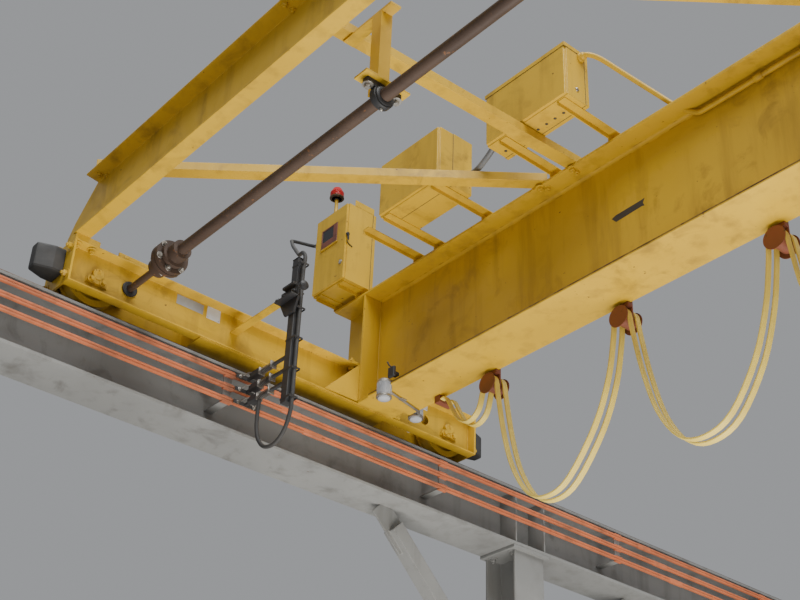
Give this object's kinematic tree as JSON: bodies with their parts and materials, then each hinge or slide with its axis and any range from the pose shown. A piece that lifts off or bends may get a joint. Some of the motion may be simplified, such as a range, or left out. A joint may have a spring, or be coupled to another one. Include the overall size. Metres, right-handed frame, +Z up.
{
  "type": "overhead bridge crane",
  "caption": "Single-girder overhead travelling crane: outrigger truss, geared end trucks on a line shaft, festoon cables, underslung hoist, on a free-standing six-column runway.",
  "frame": {"origin": "on the floor, under the middle of the runway and of the span", "axes": "+X along the span from the near rail to the far rail, +Y along the runway, +Z up"},
  "size_m": [11.7708, 12.66, 6.9787],
  "materials": {
    "yellow_paint": "satin",
    "grey_paint": "satin",
    "red_brown_paint": "satin",
    "rail_steel": "matte",
    "gear_steel": "satin",
    "shaft_paint": "satin",
    "black_metal": "satin",
    "black_plastic": "matte",
    "black_rubber": "matte",
    "bar_cover": "matte",
    "wire_rope": "satin",
    "cable_jacket": "matte"
  },
  "bodies": {
    "runway": {"runway_beam_near": "grey_paint", "runway_beam_far": "grey_paint", "rail_near": "rail_steel", "rail_far": "rail_steel", "columns_near": "grey_paint", "columns_far": "grey_paint", "knee_braces_near": "grey_paint", "knee_braces_far": "grey_paint", "end_stops": "yellow_paint", "conductor_bars": "bar_cover", "bar_hangers": "grey_paint"},
    "bridge": {"girder": "yellow_paint", "girder_cover_plate": "yellow_paint", "girder_end_plates": "yellow_paint", "outrigger_chord": "yellow_paint", "truss_posts": "yellow_paint", "truss_diagonals": "yellow_paint", "end_truck_near": "yellow_paint", "end_truck_far": "yellow_paint", "bumpers": "black_rubber", "axles_near": "yellow_paint", "axles_far": "yellow_paint", "shaft_hangers": "yellow_paint", "shaft_bearings": "black_metal", "drive_unit": "grey_paint", "switch_box": "yellow_paint", "control_box": "yellow_paint", "resistor_box": "yellow_paint", "box_brackets": "yellow_paint", "collector_arm": "yellow_paint", "collector_post": "black_plastic", "collector_shoes": "black_plastic", "festoon_trolleys": "red_brown_paint", "hoist_trolley": "grey_paint", "hoist_drum": "grey_paint", "hoist_ropes": "wire_rope", "hook_block": "yellow_paint", "festoon_cable_a": "cable_jacket", "festoon_cable_b": "cable_jacket", "collector_cable": "black_rubber"},
    "drive_wheel_near": {"wheel_near_drive": "yellow_paint", "gear_near": "gear_steel"},
    "idler_wheel_near": {"wheel_near_idler": "yellow_paint"},
    "drive_wheel_far": {"wheel_far_drive": "yellow_paint", "gear_far": "gear_steel"},
    "idler_wheel_far": {"wheel_far_idler": "yellow_paint"},
    "cross_shaft": {"line_shaft": "shaft_paint", "shaft_couplings": "shaft_paint", "pinion_near": "gear_steel", "pinion_far": "gear_steel"}
  },
  "joints": [
    {"name": "bridge_travel", "type": "slide", "parent": "runway", "child": "bridge", "axis": [0, 1, 0], "range_m": [-2.78, 6.5]},
    {"name": "drive_wheel_near_spin", "type": "hinge", "parent": "bridge", "child": "drive_wheel_near", "pos_m": [-5.62, -3.08, 5.5527], "axis": [1, 0, 0], "range_deg": [-2520, 1080]},
    {"name": "idler_wheel_near_spin", "type": "hinge", "parent": "bridge", "child": "idler_wheel_near", "pos_m": [-5.62, -0.64, 5.5527], "axis": [1, 0, 0], "range_deg": [-2520, 1080]},
    {"name": "drive_wheel_far_spin", "type": "hinge", "parent": "bridge", "child": "drive_wheel_far", "pos_m": [5.62, -3.08, 5.5527], "axis": [1, 0, 0], "range_deg": [-2520, 1080]},
    {"name": "idler_wheel_far_spin", "type": "hinge", "parent": "bridge", "child": "idler_wheel_far", "pos_m": [5.62, -0.64, 5.5527], "axis": [1, 0, 0], "range_deg": [-2520, 1080]},
    {"name": "cross_shaft_spin", "type": "hinge", "parent": "bridge", "child": "cross_shaft", "pos_m": [0, -2.8895, 5.5527], "axis": [1, 0, 0], "range_deg": [-4320, 10080]}
  ],
  "couplings": [
    {"joint": "drive_wheel_near_spin", "follows": "bridge_travel", "rad_per_m": -6.5617},
    {"joint": "idler_wheel_near_spin", "follows": "bridge_travel", "rad_per_m": -6.5617},
    {"joint": "drive_wheel_far_spin", "follows": "bridge_travel", "rad_per_m": -6.5617},
    {"joint": "idler_wheel_far_spin", "follows": "bridge_travel", "rad_per_m": -6.5617},
    {"joint": "cross_shaft_spin", "follows": "bridge_travel", "rad_per_m": 26.247}
  ]
}
